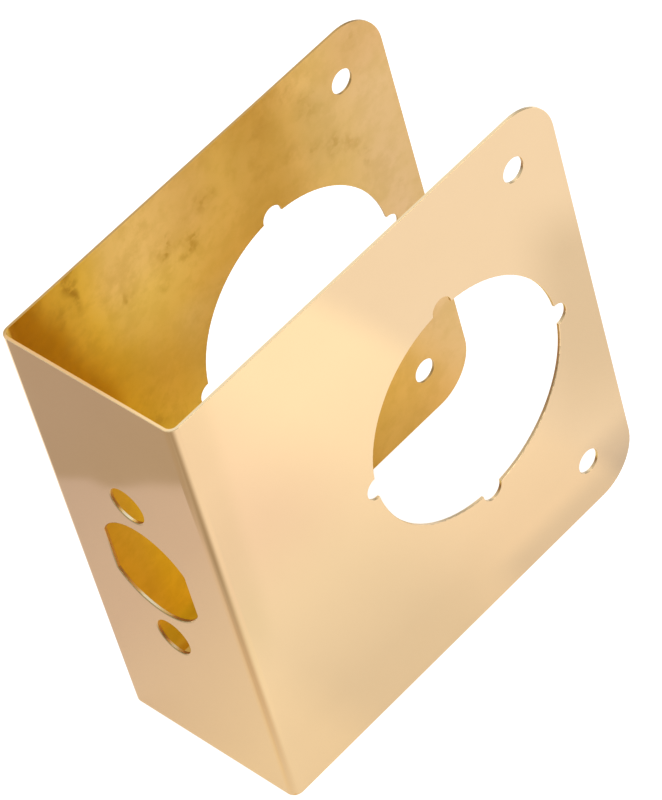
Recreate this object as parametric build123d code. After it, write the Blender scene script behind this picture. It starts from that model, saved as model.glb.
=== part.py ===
from build123d import *
import os

# Wrap-around reinforcer plate for the lock edge of a door.
# One sheet of brass, punched flat and folded twice into a U:
# a web that covers the door edge and two leaves that lie on the door's faces.
#
# Frame: origin on the axis of the lock bore, halfway through the door.
#   +Y runs along the bore axis, across the door's thickness
#   +X runs from the door edge into the door
#   +Z runs up the door edge
# Lengths are in millimetres.

# ---- sheet and folds ----
sheet = 0.7               # thickness of the sheet
inside_width = 47.0       # clear width between the leaves, for a 44.45 door
height = 114.3            # along the door edge
backset = 69.85           # bore axis to the outer face of the web
reach = 38.9              # bore axis to the free edge of a leaf
bend_inside = 1.6         # inside radius of both folds
corner = 11.0             # radius of the four free corners

# ---- lock bore, the same in both leaves ----
bore_d = 55.5             # clears the rose of a lock in a 54 bore
notch_d = 5.4             # four small round bites in the rim of the bore
notch_pitch_r = 27.75     # radius on which the bites are centred

# ---- through-bolt holes, two in each leaf ----
leaf_hole_d = 5.8
leaf_hole_inset = 12.7    # hole centre to the free edge, and to the top or bottom edge

# ---- latch opening in the web, and its two screw holes ----
latch_d = 26.0            # round above and below
latch_flats = 23.0        # straight sides
web_hole_d = 9.2
web_hole_pitch = 41.2

# ---- edges ----
rim_roll = 0.15           # rolled-over edge that the punch leaves on the outer face

# ---- worked-out dimensions ----
bend_outside = bend_inside + sheet
width = inside_width + 2 * sheet
x_web = -backset
leaf_hole_x = reach - leaf_hole_inset
leaf_hole_z = height / 2 - leaf_hole_inset

# ---- U section, drawn in plan and run up the height ----
outer = Pos((x_web + reach) / 2, 0) * Rectangle(reach - x_web, width)
outer = fillet(outer.vertices().group_by(Axis.X)[0], bend_outside)
past = 20.0
inner = Pos((x_web + sheet + reach + past) / 2, 0) * Rectangle(
    reach + past - x_web - sheet, inside_width
)
inner = fillet(inner.vertices().group_by(Axis.X)[0], bend_inside)
plate = extrude(outer - inner, height / 2, both=True)

# ---- free corners of the two leaves ----
plate = fillet(plate.edges().filter_by(Axis.Y).group_by(Axis.X)[-1], corner)

# ---- lock bore with its four bites, through both leaves ----
bore = Circle(bore_d / 2)
for spot in PolarLocations(notch_pitch_r, 4):
    bore += spot * Circle(notch_d / 2)
plate -= extrude(Plane.XZ * bore, width, both=True)

# ---- through-bolt holes, through both leaves ----
for z in (-leaf_hole_z, leaf_hole_z):
    plate -= extrude(
        Plane.XZ * Pos(leaf_hole_x, z) * Circle(leaf_hole_d / 2), width, both=True
    )

# ---- latch opening and its screw holes, through the web only ----
web_plane = Plane(origin=(x_web, 0, 0), x_dir=(0, -1, 0), z_dir=(-1, 0, 0))
latch = Circle(latch_d / 2) & Rectangle(latch_flats, 2 * latch_d)
for z in (-web_hole_pitch / 2, web_hole_pitch / 2):
    latch += Pos(0, z) * Circle(web_hole_d / 2)
plate -= extrude(web_plane * latch, 4 * sheet, both=True)

# ---- rolled edge all round the outer face ----
def on_outer_face(edge):
    c = edge @ 0.5
    if abs(c.Y) > width / 2 - 1e-4 or c.X < x_web + 1e-4:
        return True
    # rim of the fold, top and bottom
    dx, dy = c.X - (x_web + bend_outside), abs(c.Y) - (width / 2 - bend_outside)
    return dx < 0 and dy > 0 and abs((dx * dx + dy * dy) ** 0.5 - bend_outside) < 1e-3


def is_rim(edge):
    # a tangent line of a fold runs along Z and is no rim
    if abs(edge.tangent_at(0.5).Z) > 0.999 and abs((edge @ 0.5).X) > 0:
        if (edge @ 0.5).X < x_web + bend_outside + 1e-3 and edge.length > height / 2:
            return False
    return True


rims = [e for e in plate.edges() if on_outer_face(e) and is_rim(e)]
plate = fillet(rims, rim_roll)

os.makedirs("parts", exist_ok=True)
export_step(plate, "parts/wrap_plate.step")
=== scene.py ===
import bpy
from mathutils import Matrix, Vector


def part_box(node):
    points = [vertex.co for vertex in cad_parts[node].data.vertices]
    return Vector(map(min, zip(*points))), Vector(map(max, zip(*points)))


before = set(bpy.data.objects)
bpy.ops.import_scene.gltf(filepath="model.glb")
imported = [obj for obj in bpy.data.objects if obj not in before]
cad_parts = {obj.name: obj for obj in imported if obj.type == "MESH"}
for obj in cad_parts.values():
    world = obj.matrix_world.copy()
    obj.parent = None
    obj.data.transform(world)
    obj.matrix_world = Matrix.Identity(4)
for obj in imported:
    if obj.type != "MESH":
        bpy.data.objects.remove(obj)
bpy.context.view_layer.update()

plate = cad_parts["wrap_plate"]
low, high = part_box("wrap_plate")
scene = bpy.context.scene

# ---------------------------------------------------------------- dimensions
MM = 0.001
SHEET = 0.7 * MM               # thickness of the sheet
BEND_IN = 1.6 * MM             # inside radius of the folds
BEND_OUT = BEND_IN + SHEET
FOLD_X = low.x + BEND_OUT      # axis of both folds
FOLD_Y = high.y - BEND_OUT
FLOOR_Z = low.z


# ---------------------------------------------------------------- node helpers
class Nodes:
    """Small helper that writes a node tree as plain expressions."""

    def __init__(self, tree):
        self.tree = tree
        self.n = tree.nodes
        self.l = tree.links
        self.n.clear()

    def add(self, kind, **props):
        node = self.n.new(kind)
        for k, v in props.items():
            setattr(node, k, v)
        return node

    def feed(self, socket, value):
        if value is None:
            return
        if isinstance(value, bpy.types.NodeSocket):
            self.l.new(value, socket)
        elif isinstance(value, (tuple, list)):
            if socket.type == "RGBA" and len(value) == 3:
                value = (*value, 1.0)
            socket.default_value = value
        else:
            socket.default_value = value

    def math(self, op, a, b=None, c=None, clamp=False):
        node = self.add("ShaderNodeMath", operation=op, use_clamp=clamp)
        for i, v in enumerate((a, b, c)):
            if v is not None:
                self.feed(node.inputs[i], v)
        return node.outputs[0]

    def vec(self, op, a, b=None):
        node = self.add("ShaderNodeVectorMath", operation=op)
        self.feed(node.inputs[0], a)
        if b is not None:
            self.feed(node.inputs[1], b)
        return node.outputs["Value" if op in ("LENGTH", "DOT_PRODUCT", "DISTANCE") else "Vector"]

    def ramp(self, value, lo, hi, to_lo=0.0, to_hi=1.0, kind="SMOOTHSTEP"):
        node = self.add("ShaderNodeMapRange", interpolation_type=kind)
        node.clamp = True
        self.feed(node.inputs["Value"], value)
        self.feed(node.inputs["From Min"], lo)
        self.feed(node.inputs["From Max"], hi)
        self.feed(node.inputs["To Min"], to_lo)
        self.feed(node.inputs["To Max"], to_hi)
        return node.outputs["Result"]

    def noise(self, vector, scale, detail=3.0, rough=0.5, distortion=0.0):
        node = self.add("ShaderNodeTexNoise")
        self.feed(node.inputs["Vector"], vector)
        node.inputs["Scale"].default_value = scale
        node.inputs["Detail"].default_value = detail
        node.inputs["Roughness"].default_value = rough
        node.inputs["Distortion"].default_value = distortion
        return node.outputs["Fac"]

    def scaled(self, vector, scale, offset=(0, 0, 0)):
        node = self.add("ShaderNodeMapping")
        self.feed(node.inputs["Vector"], vector)
        node.inputs["Scale"].default_value = scale
        node.inputs["Location"].default_value = offset
        return node.outputs["Vector"]

    def mix(self, fac, a, b, blend="MIX"):
        node = self.add("ShaderNodeMix", data_type="RGBA", blend_type=blend)
        self.feed(node.inputs["Factor"], fac)
        ia = [s for s in node.inputs if s.name == "A" and s.type == "RGBA"][0]
        ib = [s for s in node.inputs if s.name == "B" and s.type == "RGBA"][0]
        self.feed(ia, a)
        self.feed(ib, b)
        return [s for s in node.outputs if s.type == "RGBA"][0]

    def lerp(self, fac, a, b):
        node = self.add("ShaderNodeMix", data_type="FLOAT")
        self.feed(node.inputs["Factor"], fac)
        ia = [s for s in node.inputs if s.name == "A" and s.type == "VALUE"][0]
        ib = [s for s in node.inputs if s.name == "B" and s.type == "VALUE"][0]
        self.feed(ia, a)
        self.feed(ib, b)
        return [s for s in node.outputs if s.type == "VALUE"][0]


# ---------------------------------------------------------------- brass sheet
# stains on the inner face of the far leaf: x, z, half widths along x and z (mm), strength
STAINS = (
    (-51.3, 52.0, 1.7, 4.2, 0.74),
    (-54.5, 48.0, 1.2, 2.5, 0.35),
    (-50.8, 55.2, 1.8, 3.2, 0.58),
    (-27.5, 43.2, 2.6, 2.4, 0.60),
    (-15.0, 46.3, 3.2, 2.6, 0.48),
    (-21.2, 39.8, 3.0, 2.6, 0.68),
    (-24.0, 37.0, 2.2, 1.6, 0.35),
    (-39.0, 39.4, 1.2, 2.4, 0.38),
    (-42.5, 6.0, 2.2, 2.4, 0.45),
    (-29.0, 35.5, 2.0, 1.5, 0.25),
    (-20.0, 45.0, 2.2, 1.6, 0.12),
    (12.0, 53.0, 2.6, 1.8, 0.35),
    (16.0, 46.0, 2.0, 3.6, 0.26),
    (15.0, 35.5, 1.8, 2.2, 0.36),
    (9.5, 40.0, 1.8, 3.0, 0.25),
    (20.2, 31.5, 2.4, 2.4, 0.42),
    (23.8, 28.0, 2.2, 2.0, 0.38),
    (26.6, 23.0, 1.8, 2.2, 0.34),
    (31.5, 52.5, 2.2, 2.0, 0.25),
    (3.0, 50.0, 2.4, 3.4, 0.20),
)


def brass_sheet():
    mat = bpy.data.materials.new("brass_sheet")
    mat.use_nodes = True
    t = Nodes(mat.node_tree)
    coord = t.add("ShaderNodeTexCoord").outputs["Object"]
    xyz = t.add("ShaderNodeSeparateXYZ")
    t.feed(xyz.inputs[0], coord)
    x, y, z = xyz.outputs
    # depth through the sheet: 0 on the inner face, 1 on the outer face
    ax = t.math("MAXIMUM", t.math("SUBTRACT", FOLD_X, x), 0.0)
    ay = t.math("MAXIMUM", t.math("SUBTRACT", t.math("ABSOLUTE", y), FOLD_Y), 0.0)
    d = t.math("SQRT", t.math("ADD", t.math("MULTIPLY", ax, ax), t.math("MULTIPLY", ay, ay)))
    depth = t.math("DIVIDE", t.math("SUBTRACT", d, BEND_IN), SHEET)
    outer = t.ramp(depth, 0.74, 0.86)
    inner = t.ramp(depth, 0.02, 0.08, 1.0, 0.0)

    # ---- outer faces: polished
    polish = t.noise(coord, 60.0, 3.0, 0.55)
    out_col = t.mix(polish, (0.845, 0.622, 0.350), (0.865, 0.642, 0.366))
    out_rough = t.ramp(polish, 0.3, 0.7, 0.055, 0.085)
    # painted shade along the lower rims of the web's three openings, where the rolled edge is in shadow
    web = t.ramp(x, low.x + 0.0008, low.x + 0.0012, 1.0, 0.0)
    rim_shade = None
    for mid, radius, flats in ((0.0206, 0.0046, 1.0), (0.0, 0.0130, 0.0115), (-0.0206, 0.0046, 1.0)):
        dz = t.math("SUBTRACT", z, mid)
        r = t.math("SQRT", t.math("ADD", t.math("MULTIPLY", y, y), t.math("MULTIPLY", dz, dz)))
        gap = t.math("MAXIMUM", t.math("SUBTRACT", r, radius), t.math("SUBTRACT", t.math("ABSOLUTE", y), flats))
        lee = t.math("DIVIDE", t.math("SUBTRACT", t.math("MULTIPLY", y, 0.5), t.math("MULTIPLY", dz, 0.866)), r)
        ring = t.math("MULTIPLY", t.ramp(gap, 0.0001, 0.0006, 1.0, 0.0), t.ramp(lee, 0.1, 0.7))
        rim_shade = ring if rim_shade is None else t.math("MAXIMUM", rim_shade, ring)
    rim_shade = t.math("MULTIPLY", rim_shade, web)
    out_col = t.mix(rim_shade, out_col, (0.55, 0.57, 0.42), "MULTIPLY")

    # ---- inner faces: as rolled, duller, with stains
    grain = t.noise(t.scaled(coord, (60.0, 60.0, 700.0)), 1.0, 4.0, 0.6)
    # mottling, in clouds
    cloud = t.noise(coord, 70.0, 2.0, 0.5)
    # painted shade in the corner of the far leaf, where the web shades it, in a band that widens downwards
    corner = t.math("MULTIPLY", t.math("MULTIPLY", t.ramp(y, 0.0, 0.001), t.ramp(z, 0.004, 0.020)), t.ramp(x, -0.0685, -0.0660))
    slant = t.math("ADD", t.math("SUBTRACT", x, t.ramp(z, 0.018, 0.053, 0.011, 0.0, "LINEAR")), t.ramp(cloud, 0.2, 0.8, -0.002, 0.002, "LINEAR"))
    in_col = t.mix(corner, (0.735, 0.480, 0.075), (0.598, 0.328, 0.0045))
    in_col = t.mix(t.ramp(t.lerp(corner, t.math("SUBTRACT", x, 0.004), slant), -0.0615, -0.0555), in_col, (0.790, 0.530, 0.045))
    in_col = t.mix(t.ramp(x, -0.050, -0.040), in_col, (0.755, 0.515, 0.100))
    in_col = t.mix(t.ramp(x, -0.038, -0.014), in_col, (0.680, 0.425, 0.078))
    in_col = t.mix(t.ramp(x, 0.002, 0.016), in_col, (0.768, 0.500, 0.134))
    in_col = t.mix(t.ramp(x, 0.014, 0.034), in_col, (0.758, 0.502, 0.202))
    # uneven tints on the far leaf: x from, x to, z from, z to (mm), soft edge, tint; the last zone is painted shade at
    # the foot of the far leaf in its corner with the web
    for x0, x1, z0, z1, soft, tint in (
        (-53.5, -14.0, 41.0, 70.0, 12.0, (1.0, 0.965, 1.28)),
        (-7.0, 9.0, 0.0, 70.0, 5.0, (0.920, 0.920, 0.860)),
        (12.0, 22.0, 28.0, 49.0, 8.0, (0.925, 0.935, 1.0)),
        (23.0, 60.0, 43.0, 70.0, 12.0, (0.950, 0.895, 0.830)),
        (-30.0, -10.0, -10.0, 25.0, 9.0, (0.985, 1.060, 1.500)),
        (-47.0, -39.0, -10.0, 29.0, 6.0, (0.985, 0.995, 0.760)),
        # painted shade at the foot of the far leaf, in its corner with the web
        (-62.0, -44.0, -54.0, -46.5, 5.0, (0.780, 0.850, 0.580)),
    ):
        h = soft * MM / 2
        zone = t.math("MULTIPLY", t.ramp(x, x0 * MM - h, x0 * MM + h), t.ramp(x, x1 * MM - h, x1 * MM + h, 1.0, 0.0))
        zone = t.math("MULTIPLY", zone, t.math("MULTIPLY", t.ramp(z, z0 * MM - h, z0 * MM + h), t.ramp(z, z1 * MM - h, z1 * MM + h, 1.0, 0.0)))
        in_col = t.mix(t.math("MULTIPLY", zone, t.ramp(y, 0.0, 0.001)), in_col, tint, "MULTIPLY")
    in_col = t.mix(t.ramp(grain, 0.25, 0.75, 0.0, 0.06), in_col, (0.60, 0.39, 0.09))
    # ragged outlines for the stains
    jig = t.add("ShaderNodeTexNoise")
    t.feed(jig.inputs["Vector"], coord)
    jig.inputs["Scale"].default_value = 170.0
    jig.inputs["Detail"].default_value = 1.5
    jig.inputs["Roughness"].default_value = 0.5
    shake = t.vec("MULTIPLY", t.vec("SUBTRACT", jig.outputs["Color"], (0.5, 0.5, 0.5)), (0.008, 0.008, 0.008))
    spot = t.vec("ADD", coord, shake)
    marks = None
    for sx, sz, rx, rz, strength in STAINS:
        away = t.vec("LENGTH", t.vec("MULTIPLY", t.vec("SUBTRACT", spot, (sx * MM, 0.0, sz * MM)), (1.0 / (rx * MM), 0.0, 1.0 / (rz * MM))))
        mark = t.ramp(away, 0.0, 1.7, 0.72 * strength, 0.0)
        marks = mark if marks is None else t.math("MAXIMUM", marks, mark)
    marks = t.math("MULTIPLY", marks, t.ramp(y, 0.0, 0.001))
    # the stains break up into flecks
    fleck = t.noise(coord, 480.0, 2.0, 0.55)
    marks = t.math("MULTIPLY", marks, t.ramp(fleck, 0.40, 0.60, 0.40, 1.35))
    specks = t.noise(coord, 230.0, 4.0, 0.6)
    haze = t.math("MULTIPLY", t.ramp(cloud, 0.35, 0.70, 0.25, 1.0), t.ramp(specks, 0.38, 0.75, 0.0, 0.22))
    stain = t.math("ADD", marks, haze)
    in_col = t.mix(1.0, in_col, t.mix(t.ramp(cloud, 0.30, 0.70), (0.98, 0.98, 0.94), (1.035, 1.035, 1.12)), "MULTIPLY")
    in_col = t.mix(1.0, in_col, t.mix(t.ramp(specks, 0.36, 0.64, 1.0, 0.0), (0.985, 0.982, 0.95), (1.022, 1.022, 1.06)), "MULTIPLY")
    in_col = t.mix(stain, in_col, (0.43, 0.232, 0.012))
    in_rough = t.ramp(stain, 0.0, 0.8, 0.32, 0.40)

    # ---- cut edges: duller towards the far leaf, with a painted highlight on the lower walls of the web's openings
    edge_col = t.mix(t.ramp(y, -0.020, 0.002), (0.88, 0.65, 0.36), (0.74, 0.475, 0.225))
    edge_col = t.mix(t.ramp(y, 0.0222, 0.0236), edge_col, (0.49, 0.315, 0.120))
    edge_col = t.mix(t.ramp(y, -0.0236, -0.0222, 1.0, 0.0), edge_col, (0.80, 0.650, 0.420))
    rim_highlight = None
    # painted highlight on the lower wall of each opening: z from, z to, y from, y to, strength
    for foot, top, y0, y1, bright in (
        (0.0135, 0.0182, -0.0020, 0.0046, 1.0),
        (-0.0140, -0.0090, -0.0030, 0.0080, 1.0),
        (-0.0275, -0.0230, -0.0020, 0.0036, 0.4),
    ):
        lower = t.math("MULTIPLY", t.ramp(z, foot, foot + 0.001), t.ramp(z, top - 0.001, top, bright, 0.0))
        lower = t.math("MULTIPLY", lower, t.math("MULTIPLY", t.ramp(y, y0, y0 + 0.002), t.ramp(y, y1 - 0.002, y1, 1.0, 0.0)))
        rim_highlight = lower if rim_highlight is None else t.math("MAXIMUM", rim_highlight, lower)
    rim_highlight = t.math("MULTIPLY", rim_highlight, web)
    edge_col = t.mix(rim_highlight, edge_col, (1.0, 0.90, 0.66))
    edge_rough = 0.40

    col = t.mix(outer, t.mix(inner, edge_col, in_col), out_col)
    rough = t.lerp(outer, t.lerp(inner, edge_rough, in_rough), out_rough)

    # ---- slight unevenness of the sheet
    wave = t.noise(coord, 22.0, 2.0, 0.4)
    bump = t.add("ShaderNodeBump")
    bump.inputs["Strength"].default_value = 1.0
    bump.inputs["Distance"].default_value = 1.0
    t.feed(bump.inputs["Height"], t.math("MULTIPLY", wave, 0.00006))

    bsdf = t.add("ShaderNodeBsdfPrincipled")
    bsdf.inputs["Metallic"].default_value = 1.0
    t.feed(bsdf.inputs["Base Color"], col)
    t.feed(bsdf.inputs["Roughness"], rough)
    t.feed(bsdf.inputs["Normal"], bump.outputs["Normal"])
    out = t.add("ShaderNodeOutputMaterial")
    t.feed(out.inputs["Surface"], bsdf.outputs["BSDF"])
    return mat


plate.material_slots[0].material = brass_sheet()


# ---------------------------------------------------------------- stage
def slab(name, x0, x1, y0, y1, z, mat):
    mesh = bpy.data.meshes.new(name)
    mesh.from_pydata([(x0, y0, z), (x1, y0, z), (x1, y1, z), (x0, y1, z)], [], [(0, 1, 2, 3)])
    mesh.materials.append(mat)
    obj = bpy.data.objects.new(name, mesh)
    scene.collection.objects.link(obj)
    return obj


def floor_paper():
    mat = bpy.data.materials.new("floor_paper")
    mat.use_nodes = True
    t = Nodes(mat.node_tree)
    xyz = t.add("ShaderNodeSeparateXYZ")
    t.feed(xyz.inputs[0], t.add("ShaderNodeTexCoord").outputs["Object"])
    x, y, _ = xyz.outputs
    # hardly any light reaches the foot of the far leaf in its corner with the web, and that is brass-coloured
    ax = t.math("MAXIMUM", t.math("SUBTRACT", FOLD_X, x), 0.0)
    ay = t.math("MAXIMUM", t.math("SUBTRACT", y, FOLD_Y), 0.0)
    d = t.math("SQRT", t.math("ADD", t.math("MULTIPLY", ax, ax), t.math("MULTIPLY", ay, ay)))
    foot = t.math("MULTIPLY", t.ramp(y, 0.0205, 0.0222), t.ramp(d, BEND_IN, BEND_IN + 0.4 * SHEET, 1.0, 0.0))
    foot = t.math("MULTIPLY", foot, t.ramp(x, -0.050, -0.040, 1.0, 0.0))
    b = t.add("ShaderNodeBsdfPrincipled")
    b.inputs["Roughness"].default_value = 0.9
    b.inputs["Specular IOR Level"].default_value = 0.0
    b.inputs["Emission Strength"].default_value = 0.86
    t.feed(b.inputs["Base Color"], t.mix(foot, (0.5, 0.5, 0.5), (0.20, 0.12, 0.03)))
    t.feed(b.inputs["Emission Color"], t.mix(foot, (1.0, 1.0, 1.0), (0.48, 0.28, 0.06)))
    out = t.add("ShaderNodeOutputMaterial")
    t.feed(out.inputs["Surface"], b.outputs["BSDF"])
    return mat


def floor_gel():
    """Graded gels that lie on the floor around the plate and show only in the polished faces: painted reflections,
    with painted shade along the plate's foot and between the leaves.
    """
    mat = bpy.data.materials.new("floor_gel")
    mat.use_nodes = True
    t = Nodes(mat.node_tree)
    coord = t.add("ShaderNodeTexCoord").outputs["Object"]
    xyz = t.add("ShaderNodeSeparateXYZ")
    t.feed(xyz.inputs[0], coord)
    x, y, _ = xyz.outputs

    def along(px, py, nx, ny):
        """signed distance from the line through (px, py) with normal (nx, ny)"""
        return t.math(
            "ADD",
            t.math("MULTIPLY", t.math("SUBTRACT", x, px), nx),
            t.math("MULTIPLY", t.math("SUBTRACT", y, py), ny),
        )

    def both(a, b):
        return t.math("MULTIPLY", a, b)

    def either(a, b):
        return t.math("MAXIMUM", a, b)

    # in front of the leaf: full light far out, a little less towards the foot
    foot = t.mix(t.ramp(x, -0.056, -0.040), (0.825, 0.800, 0.780), (0.742, 0.727, 0.737))
    foot = t.mix(t.ramp(x, -0.02, 0.012), foot, (0.86, 0.825, 0.84))
    col = t.mix(t.ramp(y, -0.100, -0.035, kind="LINEAR"), (1.0, 0.985, 0.98), foot)
    col = t.mix(t.ramp(x, 0.030, 0.041), col, (0.845, 0.83, 0.88))
    left = both(t.ramp(x, -0.018, 0.012, 1.0, 0.0), t.ramp(y, -0.085, -0.058, 1.0, 0.0))
    col = t.mix(left, col, (0.932, 0.880, 0.922), "MULTIPLY")
    # a little less again beside the fold
    strip = both(t.ramp(along(FOLD_X, -high.y, 0.826, 0.564), 0.0, 0.005, 1.0, 0.0), t.ramp(y, -0.068, -0.050, 1.0, 0.0))
    col = t.mix(strip, col, (0.925, 0.935, 0.905), "MULTIPLY")
    # less along the foot, and least round the free corner
    front = t.ramp(y, -0.0242, -0.0200, 1.0, 0.0)
    hem = both(front, both(t.ramp(y, -0.0325, -0.0260), t.ramp(x, -0.006, 0.006)))
    col = t.mix(hem, col, (0.85, 0.865, 0.895), "MULTIPLY")
    toe = both(front, both(t.ramp(y, -0.0385, -0.0310), t.ramp(x, 0.031, 0.038)))
    col = t.mix(toe, col, (0.80, 0.80, 0.83), "MULTIPLY")
    # a dimmer streak there, towards the free edge
    across = t.math("ABSOLUTE", along(0.073, -0.070, 0.7071, 0.7071))
    length = along(0.073, -0.070, 0.7071, -0.7071)
    streak = both(t.ramp(across, 0.003, 0.017, 1.0, 0.0), both(t.ramp(length, -0.060, -0.016), t.ramp(length, 0.008, 0.030, 1.0, 0.0)))
    col = t.mix(both(streak, 0.88), col, (0.68, 0.66, 0.68))

    # beside the web: dimmer the further back
    beside = t.ramp(x, low.x - 0.0005, low.x + 0.0005, 1.0, 0.0)
    near = both(beside, t.ramp(along(FOLD_X, -FOLD_Y, -0.174, 0.985), -0.003, 0.003))
    fx, fy = FOLD_X, -FOLD_Y
    out_x, out_y = t.math("SUBTRACT", x, fx), t.math("SUBTRACT", y, fy)
    reach = t.math("SQRT", t.math("ADD", both(out_x, out_x), both(out_y, out_y)))
    way = either(y, t.math("ADD", both(reach, 0.825), fy))
    near_tint = t.mix(t.ramp(way, -0.012, 0.042, kind="LINEAR"), (0.80, 0.73, 0.62), (0.600, 0.515, 0.495))
    near_tint = t.mix(t.ramp(way, 0.038, 0.085), near_tint, (0.525, 0.455, 0.46))
    col = t.mix(near, col, near_tint)
    # painted reflection: the gel is dark beyond, as for a dark flag
    along_edge = along(-0.1051, 0.0814, -0.499, -0.8666)
    dip = both(t.ramp(along_edge, 0.005, 0.012), t.ramp(along_edge, 0.014, 0.021, 0.0021, 0.0009))
    ahead = along(fx, fy, -0.8660, -0.5)
    aside = along(fx, fy, 0.5, -0.8660)
    turn = t.math("ARCTAN2", aside, ahead)
    soft = t.ramp(turn, -1.50, -1.20, 0.0014, 0.012)
    far = t.ramp(t.math("ADD", along(-0.1051, 0.0814, -0.8666, 0.499), dip), t.math("MULTIPLY", soft, -1.0), soft)
    flag_reflection = both(far, beside)
    dark = t.mix(t.ramp(y, 0.060, 0.100), (0.420, 0.350, 0.290), (0.420, 0.352, 0.318))
    col = t.mix(flag_reflection, col, dark)
    # painted reflection: darker further out, as for a dark stand, which shows only in the front fold
    sector = both(t.ramp(turn, -1.05, -0.12), t.ramp(turn, -0.05, 1.00, 1.0, 0.0))
    stand_reflection = both(sector, t.ramp(ahead, -0.008, 0.069, kind="LINEAR"))
    col = t.mix(stand_reflection, col, t.mix(t.ramp(ahead, 0.020, 0.065), (0.42, 0.25, 0.11), (0.39, 0.33, 0.275)))

    # bare floor behind the far leaf, and further out all round
    bare = both(t.ramp(along(low.x, high.y, 0.826, 0.564), 0.004, 0.040), t.ramp(y, 0.016, 0.030))
    bare = either(bare, t.ramp(t.vec("LENGTH", coord), 0.19, 0.32))
    col = t.mix(bare, col, (0.94, 0.92, 0.91))

    # between the leaves: painted shade, amber as from light bounced between the leaves, darkest near the web and in
    # the nook
    inside = both(
        t.ramp(t.math("ABSOLUTE", y), high.y - SHEET, high.y, 1.0, 0.0),
        both(t.ramp(x, low.x, low.x + SHEET), t.ramp(x, high.x - 0.012, high.x + 0.012, 1.0, 0.0)),
    )
    inside_shade = t.mix(t.ramp(x, -0.046, -0.016), (0.705, 0.465, 0.090), (0.94, 0.88, 0.44))
    inside_shade = t.mix(both(t.ramp(y, 0.0206, 0.0222), t.ramp(x, -0.048, -0.038, 1.0, 0.0)), inside_shade, (1.0, 1.0, 0.85))
    inside_shade = t.mix(t.ramp(x, -0.005, 0.025), inside_shade, (0.81, 0.70, 0.46))
    nook = both(t.ramp(y, 0.003, 0.020), both(t.ramp(x, 0.018, 0.032, 1.0, 0.0), t.ramp(x, -0.034, -0.018)))
    inside_shade = t.mix(nook, inside_shade, t.mix(t.ramp(x, -0.004, 0.012), (0.50, 0.34, 0.05), (0.70, 0.60, 0.42)))
    col = t.mix(inside, col, inside_shade)

    gel = t.add("ShaderNodeBsdfTransparent")
    t.feed(gel.inputs["Color"], col)
    out = t.add("ShaderNodeOutputMaterial")
    t.feed(out.inputs["Surface"], gel.outputs["BSDF"])
    return mat


floor = slab("floor", -3.0, 3.0, -3.0, 3.0, FLOOR_Z, floor_paper())
gel = slab("floor_gel", -0.6, 0.6, -0.6, 0.6, FLOOR_Z + 0.00004, floor_gel())
gel.visible_camera = False
gel.visible_diffuse = False
gel.visible_shadow = False
gel.visible_transmission = False
gel.visible_volume_scatter = False

# ---------------------------------------------------------------- light
world = bpy.data.worlds.new("studio")
scene.world = world
world.use_nodes = True
w = Nodes(world.node_tree)
wc = w.add("ShaderNodeTexCoord").outputs["Generated"]
ws = w.add("ShaderNodeSeparateXYZ")
w.feed(ws.inputs[0], wc)
sky = w.ramp(ws.outputs[2], -0.1, 0.9, 0.34, 0.80)
bg = w.add("ShaderNodeBackground")
bg.inputs["Color"].default_value = (1, 1, 1, 1)
w.feed(bg.inputs["Strength"], sky)
wo = w.add("ShaderNodeOutputWorld")
w.feed(wo.inputs["Surface"], bg.outputs["Background"])


def softbox(name, place, aim, size, power, colour=(1, 1, 1)):
    light = bpy.data.lights.new(name, "AREA")
    light.shape = "RECTANGLE"
    light.size, light.size_y = size
    light.energy = power
    light.color = colour
    obj = bpy.data.objects.new(name, light)
    scene.collection.objects.link(obj)
    obj.location = place
    obj.rotation_euler = (Vector(aim) - Vector(place)).to_track_quat("-Z", "Y").to_euler()
    return obj


softbox("back", (0.47, 0.68, 0.87), (0, 0, 0), (0.8, 0.8), 1.15, (1.0, 0.95, 0.88))
softbox("front", (0.47, -0.83, 0.65), (0, 0, 0), (0.5, 0.5), 1.2, (1.0, 0.97, 0.92))

# ---------------------------------------------------------------- camera
cam = bpy.data.cameras.new("camera")
cam.sensor_fit = "VERTICAL"
cam.sensor_height = 36.0
cam.lens = 236.984
cam.clip_start = 0.05
cam.clip_end = 20.0
eye = bpy.data.objects.new("camera", cam)
scene.collection.objects.link(eye)
right = Vector((0.66880067, -0.71496053, -0.20380654))
up = Vector((0.63322628, 0.40419248, 0.66004008))
back = Vector((-0.38952554, -0.57049091, 0.72305600))
eye.matrix_world = Matrix(
    (
        (right.x, up.x, back.x, -0.43533235),
        (right.y, up.y, back.y, -0.61467037),
        (right.z, up.z, back.z, 0.77952318),
        (0, 0, 0, 1),
    )
)
scene.camera = eye
scene.view_settings.view_transform = "Standard"

# ---------------------------------------------------------------- update the view layer
bpy.context.view_layer.update()
